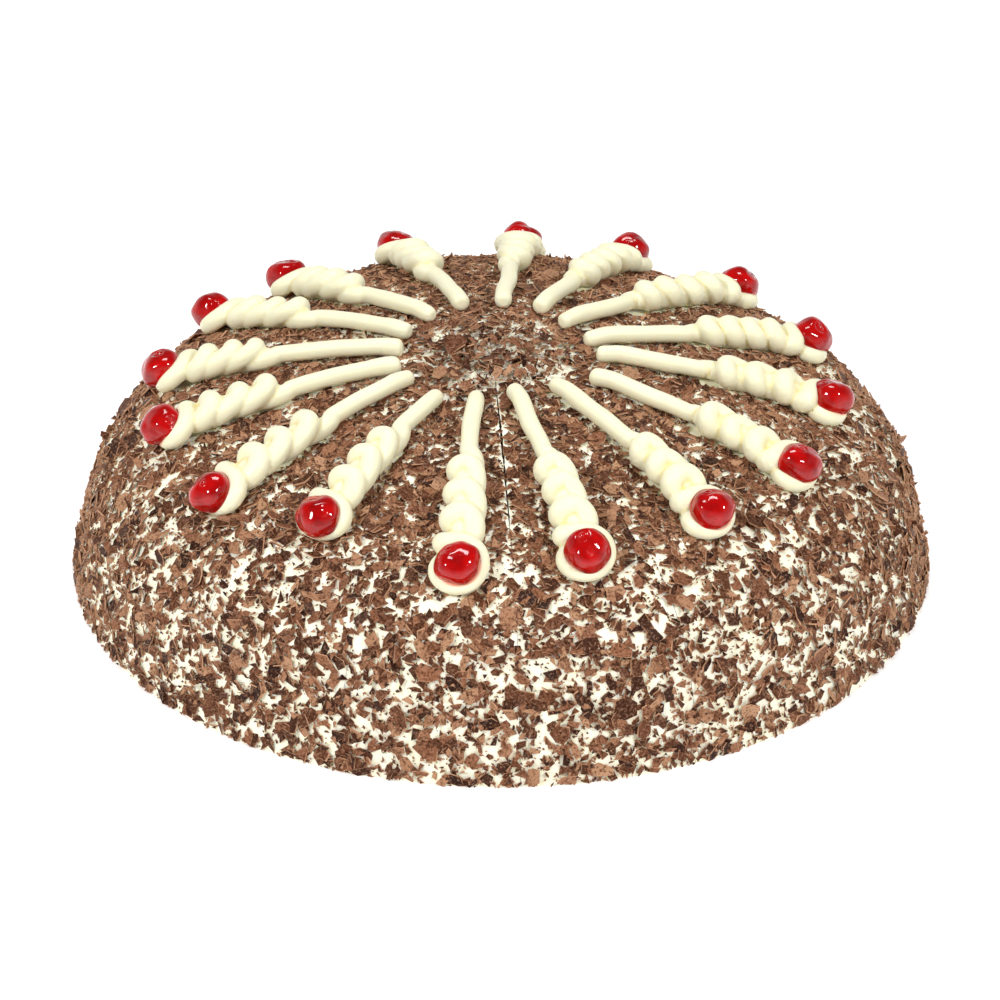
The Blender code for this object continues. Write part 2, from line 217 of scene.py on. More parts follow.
def plug(tree, node, inputs):
    """Sets a node's inputs, or links them to a socket or to a node's first output."""
    for key, value in inputs.items():
        if isinstance(value, bpy.types.Node):
            value = value.outputs[0]
        if isinstance(value, bpy.types.NodeSocket):
            tree.links.new(value, node.inputs[key])
        else:
            node.inputs[key].default_value = value


def add(tree, kind, inputs=None, **settings):
    """A new node with its settings, and its inputs set or linked."""
    made = tree.nodes.new(kind)
    for name, value in settings.items():
        setattr(made, name, value)
    plug(tree, made, inputs or {})
    return made


def new_tree(name, inputs):
    """A geometry tree with these named inputs, and its two end nodes."""
    tree = bpy.data.node_groups.new(name, "GeometryNodeTree")
    tree.interface.new_socket("Geometry", in_out="INPUT", socket_type="NodeSocketGeometry")
    tree.interface.new_socket("Geometry", in_out="OUTPUT", socket_type="NodeSocketGeometry")
    for label, kind in inputs.items():
        tree.interface.new_socket(label, in_out="INPUT", socket_type=f"NodeSocket{kind}")
    return tree, add(tree, "NodeGroupInput"), add(tree, "NodeGroupOutput")


def finish_tree(tree, entry, exit_node, geometry):
    """Ends a tree: instances made real and the material set."""
    real = add(tree, "GeometryNodeRealizeInstances", {0: geometry})
    painted = add(
        tree, "GeometryNodeSetMaterial", {0: real, "Material": entry.outputs["Material"]}
    )
    plug(tree, exit_node, {0: painted})


def attach(obj, tree, values):
    """Puts a tree on an object as a modifier, with its inputs set."""
    modifier = obj.modifiers.new(tree.name, "NODES")
    modifier.node_group = tree
    for socket in tree.interface.items_tree:
        if socket.in_out == "INPUT" and socket.name in values:
            modifier[socket.identifier] = values[socket.name]


def linked(name, data):
    """A new object with this data, linked to the scene."""
    made = bpy.data.objects.new(name, data)
    bpy.context.scene.collection.objects.link(made)
    return made


def mesh_of(bm, name):
    """The bmesh as a new mesh of this name, and the bmesh freed."""
    mesh = bpy.data.meshes.new(name)
    bm.to_mesh(mesh)
    bm.free()
    return mesh


def baked(obj, name, material):
    """A new object that holds what an object's modifiers make of it, as a plain mesh."""
    graph = bpy.context.evaluated_depsgraph_get()
    mesh = bpy.data.meshes.new_from_object(obj.evaluated_get(graph))
    obj.modifiers.clear()
    bpy.data.objects.remove(obj, do_unlink=True)
    mesh.name = name
    mesh.materials.clear()
    mesh.materials.append(material)
    return linked(name, mesh)


def mesh_object(name, points, faces=(), edges=()):
    """A new object with a mesh of these points, faces and edges."""
    mesh = bpy.data.meshes.new(name)
    mesh.from_pydata(points, edges, faces)
    return linked(name, mesh)


def store(mesh, name, values):
    """A named float attribute on a mesh's points."""
    attribute = mesh.attributes.new(name, "FLOAT", "POINT")
    attribute.data.foreach_set("value", np.asarray(values, np.float32))


# ---------------------------------------------------------------- cream surface

TOP_END = TOP_RADIUS * math.sin(TOP_END_SLOPE)
TOP_DROP = TOP_RADIUS * (1 - math.cos(TOP_END_SLOPE))
SHOULDER_END = TOP_END + SHOULDER_RADIUS * (math.sin(SIDE_SLOPE) - math.sin(TOP_END_SLOPE))
SHOULDER_DROP = SHOULDER_RADIUS * (math.cos(TOP_END_SLOPE) - math.cos(SIDE_SLOPE))
SIDE_TOP = CAKE_HEIGHT - TOP_DROP - SHOULDER_DROP
FOOT_RADIUS = SHOULDER_END + SIDE_TOP / math.tan(SIDE_SLOPE)
TOP_TRAVEL = TOP_RADIUS * TOP_END_SLOPE
SHOULDER_TRAVEL = TOP_TRAVEL + SHOULDER_RADIUS * (SIDE_SLOPE - TOP_END_SLOPE)
SIDE_TRAVEL = SHOULDER_TRAVEL + SIDE_TOP / math.sin(SIDE_SLOPE)


def radius_after(travel):
    """The radius reached this far down the meridian from the top centre."""
    if travel < TOP_TRAVEL:
        return TOP_RADIUS * math.sin(travel / TOP_RADIUS)
    if travel < SHOULDER_TRAVEL:
        slope = TOP_END_SLOPE + (travel - TOP_TRAVEL) / SHOULDER_RADIUS
        return TOP_END + SHOULDER_RADIUS * (math.sin(slope) - math.sin(TOP_END_SLOPE))
    return SHOULDER_END + (travel - SHOULDER_TRAVEL) * math.cos(SIDE_SLOPE)


def on_cream(level):
    """The point of the even dome over a level position, and the normal there."""
    radius = max(level.length, 1e-9)
    outward = level / radius
    if radius <= TOP_END:
        slope = math.asin(radius / TOP_RADIUS)
        height = CAKE_HEIGHT - TOP_RADIUS * (1 - math.cos(slope))
    elif radius <= SHOULDER_END:
        slope = math.asin(math.sin(TOP_END_SLOPE) + (radius - TOP_END) / SHOULDER_RADIUS)
        drop = SHOULDER_RADIUS * (math.cos(TOP_END_SLOPE) - math.cos(slope))
        height = CAKE_HEIGHT - TOP_DROP - drop
    else:
        slope = SIDE_SLOPE
        height = (FOOT_RADIUS - radius) * math.tan(SIDE_SLOPE)
    normal = Vector((*(outward * math.sin(slope)), math.cos(slope)))
    return Vector((*level, height)), normal


def spread_cream(level):
    """A point of the uneven cream over a level position: smooth waves, none at the foot."""
    point, normal = on_cream(level)
    swell = sum(depth * noise.noise(point / width) for depth, width in SPREAD_WAVES)
    settled = min(1.0, point.z / SPREAD_FULL_ABOVE)
    return point + normal * swell * settled


STATIONS = [
    radius_after(SIDE_TRAVEL * i / round(SIDE_TRAVEL / STATION_SPACING)) / FOOT_RADIUS
    for i in range(1, round(SIDE_TRAVEL / STATION_SPACING) + 1)
]


def foot_distance(bearing):
    """How far the foot of the cake is from the piping centre in this direction."""
    toward = direction(bearing)
    along = PIPING_CENTRE.dot(toward)
    return -along + math.sqrt(along**2 - PIPING_CENTRE.length_squared + FOOT_RADIUS**2)


def half_gap(cut, distance):
    """Half the width of a cut this far from the piping centre: one cut stands open."""
    share = (distance - OPEN_FROM) / (OPEN_TO - OPEN_FROM)
    if cut % SLICES != OPEN_CUT or not 0 < share < 1:
        return KNIFE_GAP / 2
    slow = noise.noise(Vector((distance / GAP_SLOW_WAVE, 0, 0)))
    uneven = slow + noise.noise(Vector((distance / GAP_FAST_WAVE, 3, 0)))
    swell = math.sin(math.pi * share) * max(GAP_LEAST, GAP_MEAN + uneven)
    return (KNIFE_GAP + (OPEN_CUT_GAP - KNIFE_GAP) * swell) / 2


def slice_object(number, material):
    """One slice under its toppings: an uneven top, two knife cuts and a flat underside."""
    middle = FIRST_CUT + SLICE_ANGLE * (number + 0.5)
    half = math.radians(SLICE_ANGLE / 2)
    apex = KNIFE_GAP / 2 / math.sin(half)
    shares = []
    for i in range(SLICE_COLUMNS + 1):
        even = 2 * i / SLICE_COLUMNS - 1
        shares.append(EVEN_COLUMNS * even + CROWDED_COLUMNS * math.sin(math.pi / 2 * even))
    bm = bmesh.new()
    knife = bm.faces.layers.float.new("knife")
    rows = []
    for station in [0.0] + STATIONS:
        row = []
        for share in shares:
            distance = apex + station * (foot_distance(middle) - apex)
            gaps = [half_gap(cut, distance) for cut in (number, number + 1)]
            first, last = (half - math.asin(min(1.0, gap / distance)) for gap in gaps)
            lean = (share * (first + last) + last - first) / 2
            bearing = middle + math.degrees(lean)
            distance = apex + station * (foot_distance(bearing) - apex)
            level = PIPING_CENTRE + direction(bearing) * distance
            from_cut = distance * math.sin(half - abs(lean)) - gaps[lean > 0]
            dip = EDGE_DIP * max(0.0, 1 - from_cut / EDGE_DIP_WIDTH) ** 2
            if distance > OPEN_TO:
                dip = 0.0
            row.append(bm.verts.new(spread_cream(level) - on_cream(level)[1] * dip))
        rows.append(row)
    for inner, outer in zip(rows, rows[1:]):
        for i in range(SLICE_COLUMNS):
            bm.faces.new((inner[i], outer[i], outer[i + 1], inner[i + 1]))
    feet = []
    for side in (0, -1):
        column = []
        for row in rows[:-1]:
            column.append(bm.verts.new((row[side].co.x, row[side].co.y, 0.0)))
        tops = [row[side] for row in rows]
        feet.append(column + [rows[-1][side]])
        for a, b, c, d in zip(tops, tops[1:], feet[-1][1:], feet[-1]):
            corners = [a, b, c, d] if b is not c else [a, b, d]
            wall = bm.faces.new(corners if side else corners[::-1])
            wall[knife] = 1.0
    bm.faces.new(feet[0] + rows[-1][1:-1] + feet[1][::-1])
    for vert in rows[-1]:
        vert.co.z = 0.0
    bmesh.ops.remove_doubles(bm, verts=bm.verts, dist=1e-6)
    bmesh.ops.dissolve_degenerate(bm, edges=bm.edges, dist=1e-7)
    bmesh.ops.triangulate(bm, faces=[face for face in bm.faces if len(face.verts) > 4])
    bmesh.ops.recalc_face_normals(bm, faces=bm.faces)
    for face in bm.faces:
        face.smooth = face.normal.z > -0.5
    name = f"spread_cream_{number + 1:02d}"
    mesh = mesh_of(bm, name)
    mesh.materials.append(material)
    mesh.set_sharp_from_angle(angle=SHARP_ANGLE)
    return linked(name, mesh)


# ---------------------------------------------------------------- where the ropes lie


class Rope:
    """Where one rope lies, read from its solid and its cherry's."""

    def __init__(self, number):
        low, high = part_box(f"cherry_{number + 1:02d}")
        self.fruit = (low + high) / 2
        foot = self.fruit.to_2d()
        for _ in range(3):
            foot = self.fruit.to_2d() - on_cream(foot)[1].to_2d() * FRUIT_HEIGHT
        solid = frame["nodes"][f"cream_rope_{number + 1:02d}"].data
        points = np.unique([np.round(v.co, 6) for v in solid.vertices], axis=0)
        reach = np.hypot(points[:, 0], points[:, 1])
        end = points[np.argsort(reach)[:8]].mean(0)
        self.start = Vector(end[:2])
        self.length = (foot - self.start).length
        self.along = (foot - self.start) / self.length
        self.across = Vector((-self.along.y, self.along.x))
        offsets = points[:, :2] - np.array(self.start)
        travels = offsets @ np.array(self.along)
        wide = np.abs(offsets @ np.array(self.across)) > WIDE_PART
        self.coil = travels[wide].min() - (LOOP_REACH - LOOP_SLANT)
        self.loops = LOOPS[number]
        self.past = travels.max() - self.length

    def place(self, travel, side, height):
        """A point this far along in plan, to the left and above the cream."""
        point, normal = on_cream(self.start + self.along * travel)
        left = normal.cross(self.along.to_3d()).normalized()
        return point + left * side + normal * height


def smooth_step(share):
    """0 to 1 with a level start and end."""
    share = min(1.0, max(0.0, share))
    return share * share * (3 - 2 * share)


def core_path(rope):
    """(travel, side, height, radius) along the cream that fills the middle of a coil."""
    first, last = rope.coil - LOOP_REACH, rope.length - COLLAR_INNER
    steps = round((last - first) / STRAND_STEP)
    path = []
    for i in range(steps + 1):
        share = i / steps
        cap = min(1.0, 4 * share, 4 - 4 * share)
        radius = CORE_RADIUS * (CORE_END + (1 - CORE_END) * cap)
        path.append((first + (last - first) * share, 0.0, CORE_CENTRE, radius))
    return path


def strand_path(rope, draw):
    """(travel, side, height, radius) along one piped strand, from its tail to its end.

    The coil is a row of flat loops, clockwise from above. Each loop's inner arc lies on
    the outer arc of the loop before it, and the last loop goes round the cherry.
    """
    pitch = (rope.length - FRUIT_ROOM - rope.coil) / rope.loops
    phase = draw.uniform(0, 6)
    rounding, tip = draw.uniform(*TAIL_ROUNDING), draw.uniform(*TAIL_TIP)
    path = []

    def wobble(travel):
        return TAIL_WOBBLE * noise.noise(Vector((travel / TAIL_BEND_WAVE, phase, 0)))

    tail_end = rope.coil - pitch + TAIL_OVERLAP
    steps = round(tail_end / STRAND_STEP)
    for i in range(steps + 1):
        travel = TAIL_START + (tail_end - TAIL_START) * i / steps
        cap = min(1.0, (travel - TAIL_START) / rounding)
        radius = TAIL_RADIUS * (TAIL_END + (1 - TAIL_END) * math.sqrt(1 - (1 - cap) ** 2))
        uneven = noise.noise(Vector((travel / TAIL_THICKNESS_WAVE, phase + 9, 0)))
        radius *= 1 + TAIL_UNEVEN * uneven
        laid = smooth_step(travel / TAIL_FALL)
        radius *= tip + (1 - tip) * laid
        height = TAIL_TIP_CENTRE + (TAIL_CENTRE - TAIL_TIP_CENTRE) * laid
        path.append((travel, wobble(travel), height, radius))

    # Each half turn: where it ends, how far it swings out, its height and strand radius
    first_end = rope.coil - pitch + 2 * LOOP_REACH + pitch / 2
    turns = [(first_end, FIRST_SWING * LOOP_SIDE, LOW_CENTRE, 1.0)]
    for i in range(rope.loops):
        wide = FIRST_LOOP + (LAST_LOOP - FIRST_LOOP) * i / (rope.loops - 1)
        wide *= 1 + draw.uniform(-LOOP_UNEVEN, LOOP_UNEVEN)
        high = 1 + draw.uniform(-LOOP_UNEVEN, LOOP_UNEVEN)
        crest = rope.coil + pitch * i + draw.uniform(-CREST_SCATTER_MM, CREST_SCATTER_MM) * MM
        outer = crest + 2 * LOOP_REACH + pitch / 2
        outer = min(outer, rope.length - LAST_LOOP_ROOM)
        thick = (1 + wide) / 2
        turns.append((crest, LOOP_SIDE * wide, HIGH_CENTRE * high, thick))
        turns.append((outer, LOOP_SIDE * wide, LOW_CENTRE, thick))
    thin = COLLAR_STRAND / COIL_STRAND
    entry = rope.length - COLLAR_INNER
    turns.append((entry, ENTRY_SIDE, HIGH_CENTRE * ENTRY_HEIGHT, ENTRY_THICKNESS))
    outer = rope.length + COLLAR_REACH + COLLAR_SHIFT * (rope.past - WIDEST_COLLAR)
    turns.append((outer, COLLAR_SIDE, COLLAR_LOW_CENTRE, thin))
    turns.append((rope.length - COLLAR_INNER * 0.7, COLLAR_SIDE, COLLAR_LOW_CENTRE, thin))

    travel, side, height, radius = path[-1]
    before = (travel, 0.0, height, radius / COIL_STRAND)
    sign = 1
    for turn in turns:
        length = math.pi / 2 * (abs(turn[0] - before[0]) / 2 + turn[1])
        steps = max(8, round(length / STRAND_STEP))
        for i in range(1, steps + 1):
            share = i / steps
            blend = (1 - math.cos(math.pi * share)) / 2
            travel = before[0] + (turn[0] - before[0]) * blend
            side = sign * turn[1] * math.sin(math.pi * share)
            height = before[2] + (turn[2] - before[2]) * blend
            radius = COIL_STRAND * (before[3] + (turn[3] - before[3]) * blend)
            path.append((travel, side + wobble(travel) * 0.6, height, radius))
        before = turn
        sign = -sign
    return path


# ---------------------------------------------------------------- geometry trees


def strand_tree():
    """Sweeps a round strand along a line of points, each with its own radius."""
    tree, entry, end = new_tree(
        "piped_strand", {"Sides": "Int", "Material": "Material"}
    )
    line = add(tree, "GeometryNodeMeshToCurve", {0: entry.outputs["Geometry"]})
    radius = add(tree, "GeometryNodeInputNamedAttribute", {"Name": "strand"}, data_type="FLOAT")
    sized = add(tree, "GeometryNodeSetCurveRadius", {0: line, "Radius": radius})
    ring = add(
        tree, "GeometryNodeCurvePrimitiveCircle",
        {"Resolution": entry.outputs["Sides"], "Radius": 1.0},
    )
    swept = add(
        tree, "GeometryNodeCurveToMesh",
        {"Curve": sized, "Profile Curve": ring, "Scale": radius, "Fill Caps": True},
    )
    finish_tree(tree, entry, end, swept)
    return tree


def cream_skin_tree():
    """Softens piped cream, presses in the cherry's bed, marks creases for painted shade, and stain.
    """
    tree, entry, end = new_tree(
        "cream_skin",
        {
            "Softening": "Int", "Crease Width": "Int", "Fruit Centre": "Vector",
            "Fruit Radius": "Float", "Bed Radius": "Float", "Stain Reach": "Float",
            "Material": "Material",
        },
    )
    socket = entry.outputs
    place = add(tree, "GeometryNodeInputPosition")
    soft = add(
        tree, "GeometryNodeBlurAttribute",
        {"Value": place, "Iterations": socket["Softening"]}, data_type="FLOAT_VECTOR",
    )
    body = add(tree, "GeometryNodeSetPosition", {0: socket["Geometry"], "Position": soft})
    from_fruit = add(
        tree, VECTOR_MATH, {0: place, 1: socket["Fruit Centre"]}, operation="SUBTRACT"
    )
    distance = add(tree, VECTOR_MATH, {0: from_fruit}, operation="LENGTH")
    rise = add(tree, "ShaderNodeSeparateXYZ", {0: from_fruit})
    room = add(
        tree, "ShaderNodeMapRange",
        {
            "Value": rise.outputs["Z"], "From Min": -2 * MM, "From Max": 2 * MM,
            "To Min": socket["Bed Radius"], "To Max": socket["Fruit Radius"],
        },
    )
    off = add(
        tree, MATH, {0: room, 1: distance.outputs["Value"]}, operation="SUBTRACT"
    )
    push = add(tree, MATH, {0: off, 1: 0.0}, operation="MAXIMUM")
    outward = add(tree, VECTOR_MATH, {0: from_fruit}, operation="NORMALIZE")
    move = add(
        tree, VECTOR_MATH, {0: outward, "Scale": push.outputs[0]}, operation="SCALE"
    )
    pressed = add(tree, "GeometryNodeSetPosition", {0: body, "Offset": move})
    # How hollow the cream is at each point, kept for the painted shade in its creases
    wide = add(
        tree, "GeometryNodeBlurAttribute",
        {"Value": place, "Iterations": socket["Crease Width"]}, data_type="FLOAT_VECTOR",
    )
    rise = add(tree, VECTOR_MATH, {0: wide, 1: place}, operation="SUBTRACT")
    normal = add(tree, "GeometryNodeInputNormal")
    hollow = add(tree, VECTOR_MATH, {0: rise, 1: normal}, operation="DOT_PRODUCT")
    hollow_mm = add(
        tree, MATH, {0: hollow.outputs["Value"], 1: 1 / MM}, operation="MULTIPLY"
    )
    creased = add(
        tree, "GeometryNodeStoreNamedAttribute",
        {0: pressed, "Name": "crease", "Value": hollow_mm}, data_type="FLOAT", domain="POINT",
    )
    stain = add(
        tree, "ShaderNodeMapRange",
        {
            "Value": distance.outputs["Value"], "From Min": socket["Stain Reach"],
            "From Max": socket["Fruit Radius"],
        },
    )
    stained = add(
        tree, "GeometryNodeStoreNamedAttribute",
        {0: creased, "Name": "stain", "Value": stain.outputs[0]}, data_type="FLOAT", domain="POINT",
    )
    smooth = add(tree, "GeometryNodeSetShadeSmooth", {0: stained})
    finish_tree(tree, entry, end, smooth)
    return tree


def fruit_skin_tree():
    """Grows a coarse ball into a lumpy, creased glace cherry with its stone's hole."""
    tree, entry, end = new_tree(
        "fruit_skin",
        {
            "Detail": "Int", "Centre": "Vector", "Radius": "Float", "Lump Depth": "Float",
            "Lump Width": "Float", "Crease Depth": "Float", "Crease Width": "Float",
            "Hole Direction": "Vector", "Hole Depth": "Float", "Hole Width": "Float",
            "Seed": "Float", "Material": "Material",
        },
    )
    socket = entry.outputs
    fine = add(
        tree, "GeometryNodeSubdivisionSurface", {0: socket["Geometry"], "Level": socket["Detail"]}
    )
    place = add(tree, "GeometryNodeInputPosition")
    normal = add(tree, "GeometryNodeInputNormal")
    lump_scale = add(tree, MATH, {0: 1.0, 1: socket["Lump Width"]}, operation="DIVIDE")
    lumps = add(
        tree, NOISE,
        {"Vector": place, "W": socket["Seed"], "Detail": 1.0, "Scale": lump_scale},
        noise_dimensions="4D",
    )
    swell = add(tree, MATH, {0: lumps.outputs[0], 1: 0.5}, operation="SUBTRACT")
    lump = add(tree, MATH, {0: swell, 1: socket["Lump Depth"]}, operation="MULTIPLY")
    cell_scale = add(tree, MATH, {0: 1.0, 1: socket["Crease Width"]}, operation="DIVIDE")
    cells = add(
        tree, "ShaderNodeTexVoronoi",
        {"Vector": place, "W": socket["Seed"], "Smoothness": 0.12, "Scale": cell_scale},
        voronoi_dimensions="4D", feature="SMOOTH_F1",
    )
    sharper = add(tree, MATH, {0: cells.outputs[0], 1: 2.0}, operation="POWER")
    crease = add(tree, MATH, {0: sharper, 1: socket["Crease Depth"]}, operation="MULTIPLY")
    # The hole: a dimple in rings, round its own direction
    from_centre = add(tree, VECTOR_MATH, {0: place, 1: socket["Centre"]}, operation="SUBTRACT")
    outward = add(tree, VECTOR_MATH, {0: from_centre}, operation="NORMALIZE")
    apart = add(
        tree, VECTOR_MATH, {0: outward, 1: socket["Hole Direction"]}, operation="DISTANCE"
    )
    arc = add(tree, MATH, {0: apart.outputs["Value"], 1: socket["Radius"]}, operation="MULTIPLY")
    share = add(tree, MATH, {0: arc, 1: socket["Hole Width"]}, operation="DIVIDE")
    squared = add(tree, MATH, {0: share, 1: share}, operation="MULTIPLY")
    falling = add(tree, MATH, {0: squared, 1: -1.0}, operation="MULTIPLY")
    fade = add(tree, MATH, {0: falling}, operation="EXPONENT")
    turned = add(tree, MATH, {0: share, 1: RING_TURNS}, operation="MULTIPLY")
    rings = add(tree, MATH, {0: turned}, operation="COSINE")
    ripple = add(tree, MATH, {0: rings, 1: RING_DEPTH, 2: RING_FLOOR}, operation="MULTIPLY_ADD")
    dimple = add(tree, MATH, {0: fade, 1: ripple}, operation="MULTIPLY")
    hole = add(tree, MATH, {0: dimple, 1: socket["Hole Depth"]}, operation="MULTIPLY")
    bulge = add(tree, MATH, {0: lump, 1: crease}, operation="SUBTRACT")
    total = add(tree, MATH, {0: bulge, 1: hole}, operation="SUBTRACT")
    move = add(tree, VECTOR_MATH, {0: normal, "Scale": total.outputs[0]}, operation="SCALE")
    grown = add(tree, "GeometryNodeSetPosition", {0: fine, "Offset": move})
    smooth = add(tree, "GeometryNodeSetShadeSmooth", {0: grown})
    finish_tree(tree, entry, end, smooth)
    return tree


def strewn_tree():
    """Strews shards over a surface: denser where it says, clear of ropes and cuts."""
    tree, entry, end = new_tree(
        "strewn_shards",
        {
            "Shards": "Collection", "Per Square Metre": "Float", "Apart": "Float",
            "Smallest": "Float", "Largest": "Float", "Thickness": "Float",
            "Most Tilt": "Float", "Heap": "Float", "Patch Width": "Float",
            "Patchiness": "Float", "Rope Room": "Float", "Cut Room": "Float",
            "From Radius": "Float", "To Radius": "Float", "Reach": "Float", "Seed": "Int",
            "Material": "Material",
        },
    )
    socket = entry.outputs
    stored = {
        name: add(tree, "GeometryNodeInputNamedAttribute", {"Name": name}, data_type="FLOAT")
        for name in ("cover", "heap", "rope_gap", "cut_gap", "size")
    }
    # What is drawn for each shard, and between which ends, each from a seed of its own
    ranges = {
        "size": (0.0, 1.0), "tilt": (-1.0, 1.0), "roll": (-1.0, 1.0), "turn": (0.0, 2 * math.pi),
        "heap": (0.0, 1.0), "layer": (0.0, 1.0), "width": SHARD_WIDTHS,
        "thickness": SHARD_THICKNESSES, "shade": (0.0, 1.0),
    }
    drawn = {}
    for offset, (name, (low, high)) in enumerate(ranges.items(), start=1):
        seed = add(tree, MATH, {0: socket["Seed"], 1: offset}, operation="ADD")
        chance = add(tree, "FunctionNodeRandomValue", {2: low, 3: high, "Seed": seed})
        drawn[name] = chance.outputs[1]

    # How densely the shards lie: the stored cover made patchy, between two radii
    place = add(tree, "GeometryNodeInputPosition")
    patch_scale = add(tree, MATH, {0: 1.0, 1: socket["Patch Width"]}, operation="DIVIDE")
    patches = add(tree, NOISE, {"Vector": place, "Scale": patch_scale, "Detail": 2.0})
    centred = add(tree, MATH, {0: patches.outputs[0], 1: 0.5}, operation="SUBTRACT")
    patchy = add(tree, MATH, {0: centred, 1: socket["Patchiness"]}, operation="MULTIPLY")
    cover = add(tree, MATH, {0: patchy, 1: stored["cover"]}, operation="ADD", use_clamp=True)
    level = add(tree, VECTOR_MATH, {0: place, 1: (1, 1, 0)}, operation="MULTIPLY")
    radius = add(tree, VECTOR_MATH, {0: level}, operation="LENGTH").outputs["Value"]
    past_start = add(tree, MATH, {0: radius, 1: socket["From Radius"]}, operation="GREATER_THAN")
    before_end = add(tree, MATH, {0: radius, 1: socket["To Radius"]}, operation="LESS_THAN")
    in_ring = add(tree, MATH, {0: past_start, 1: before_end}, operation="MULTIPLY")
    density = add(tree, MATH, {0: cover, 1: in_ring}, operation="MULTIPLY")
    strewn = add(
        tree, "GeometryNodeDistributePointsOnFaces",
        {
            "Mesh": socket["Geometry"], "Distance Min": socket["Apart"],
            "Density Max": socket["Per Square Metre"], "Density Factor": density,
            "Seed": socket["Seed"],
        },
        distribute_method="POISSON",
    )
    spread = add(tree, MATH, {0: drawn["size"], 1: SMALL_FAVOUR}, operation="POWER")
    size_range = add(
        tree, MATH, {0: socket["Largest"], 1: socket["Smallest"]}, operation="SUBTRACT"
    )
    size = add(
        tree, MATH, {0: spread, 1: size_range, 2: socket["Smallest"]}, operation="MULTIPLY_ADD"
    )
    sized = add(
        tree, "GeometryNodeStoreNamedAttribute",
        {0: strewn.outputs["Points"], "Name": "size", "Value": size},
        data_type="FLOAT", domain="POINT",
    )
    rope_room = add(tree, MATH, {0: stored["size"], 1: socket["Rope Room"]}, operation="MULTIPLY")
    cut_room = add(tree, MATH, {0: stored["size"], 1: socket["Cut Room"]}, operation="MULTIPLY")
    on_rope = add(tree, MATH, {0: stored["rope_gap"], 1: rope_room}, operation="LESS_THAN")
    on_cut = add(tree, MATH, {0: stored["cut_gap"], 1: cut_room}, operation="LESS_THAN")
    hidden = add(tree, MATH, {0: on_rope, 1: on_cut}, operation="MAXIMUM")
    clear = add(
        tree, "GeometryNodeDeleteGeometry", {0: sized, "Selection": hidden}, domain="POINT"
    )

    # How each shard lies, kept on the points before they are moved
    tilt = add(tree, MATH, {0: drawn["tilt"], 1: socket["Most Tilt"]}, operation="MULTIPLY")
    roll = add(tree, MATH, {0: drawn["roll"], 1: socket["Most Tilt"]}, operation="MULTIPLY")
    turn = add(tree, "ShaderNodeCombineXYZ", {0: tilt, 1: roll, 2: drawn["turn"]})
    spin = add(tree, "FunctionNodeEulerToRotation", {0: turn})
    lying = add(
        tree, "FunctionNodeRotateRotation",
        {0: strewn.outputs["Rotation"], "Rotate By": spin}, rotation_space="LOCAL",
    )
    tipped, rolled = (add(tree, MATH, {0: angle}, operation="ABSOLUTE") for angle in (tilt, roll))
    lean = add(tree, MATH, {0: tipped, 1: rolled}, operation="MAXIMUM")
    slope = add(tree, MATH, {0: lean}, operation="SINE")
    most_lift = add(tree, MATH, {0: stored["size"], 1: SHARD_LIFT}, operation="MULTIPLY")
    lift = add(tree, MATH, {0: slope, 1: most_lift}, operation="MULTIPLY")
    heap = add(tree, MATH, {0: stored["heap"], 1: socket["Heap"]}, operation="MULTIPLY")
    heaped = add(tree, MATH, {0: heap, 1: drawn["heap"], 2: lift}, operation="MULTIPLY_ADD")
    risen = add(
        tree, MATH, {0: drawn["layer"], 1: socket["Thickness"], 2: heaped},
        operation="MULTIPLY_ADD",
    )
    offset = add(
        tree, VECTOR_MATH, {0: strewn.outputs["Normal"], "Scale": risen.outputs[0]},
        operation="SCALE",
    )
    raised = add(tree, "GeometryNodeSetPosition", {0: clear, "Offset": offset})
    shards = add(
        tree, "GeometryNodeCollectionInfo",
        {0: socket["Shards"], "Separate Children": True, "Reset Children": True},
    )
    pick = add(
        tree, "FunctionNodeRandomValue", {4: 0, 5: 99, "Seed": socket["Seed"]}, data_type="INT"
    )
    wide = add(tree, MATH, {0: stored["size"], 1: drawn["width"]}, operation="MULTIPLY")
    thick = add(tree, MATH, {0: socket["Thickness"], 1: drawn["thickness"]}, operation="MULTIPLY")
    scale = add(tree, "ShaderNodeCombineXYZ", {0: stored["size"], 1: wide, 2: thick})
    laid = add(
        tree, "GeometryNodeInstanceOnPoints",
        {
            "Points": raised, "Instance": shards, "Pick Instance": True,
            "Instance Index": pick.outputs[2], "Rotation": lying, "Scale": scale,
        },
    )
    shaded = add(
        tree, "GeometryNodeStoreNamedAttribute",
        {0: laid, "Name": "shade", "Value": drawn["shade"]}, data_type="FLOAT", domain="INSTANCE",
    )
    real = add(tree, "GeometryNodeRealizeInstances", {0: shaded})

    # A shard that would go under the table or past the widest place is set back whole
    island = add(tree, "GeometryNodeInputMeshIsland")
    height = add(tree, "ShaderNodeSeparateXYZ", {0: place})
    lowest, widest = (
        add(
            tree, "GeometryNodeFieldMinAndMax", {"Value": value, "Group ID": island},
            data_type="FLOAT", domain="POINT",
        )
        for value in (height.outputs["Z"], radius)
    )
    sunk = add(
        tree, MATH, {0: TABLE_CLEARANCE, 1: lowest.outputs["Min"]}, operation="SUBTRACT"
    )
    under = add(tree, MATH, {0: sunk, 1: 0.0}, operation="MAXIMUM")
    beyond = add(tree, MATH, {0: widest.outputs["Max"], 1: socket["Reach"]}, operation="SUBTRACT")
    past = add(tree, MATH, {0: beyond, 1: 0.0}, operation="MAXIMUM")
    inward = add(tree, MATH, {0: past, 1: -1.0}, operation="MULTIPLY")
    outward = add(tree, VECTOR_MATH, {0: level}, operation="NORMALIZE")
    back = add(tree, VECTOR_MATH, {0: outward, "Scale": inward.outputs[0]}, operation="SCALE")
    up = add(tree, "ShaderNodeCombineXYZ", {2: under})
    shift = add(tree, VECTOR_MATH, {0: back, 1: up}, operation="ADD")
    inside = add(tree, "GeometryNodeSetPosition", {0: real, "Offset": shift})
    finish_tree(tree, entry, end, inside)
    return tree


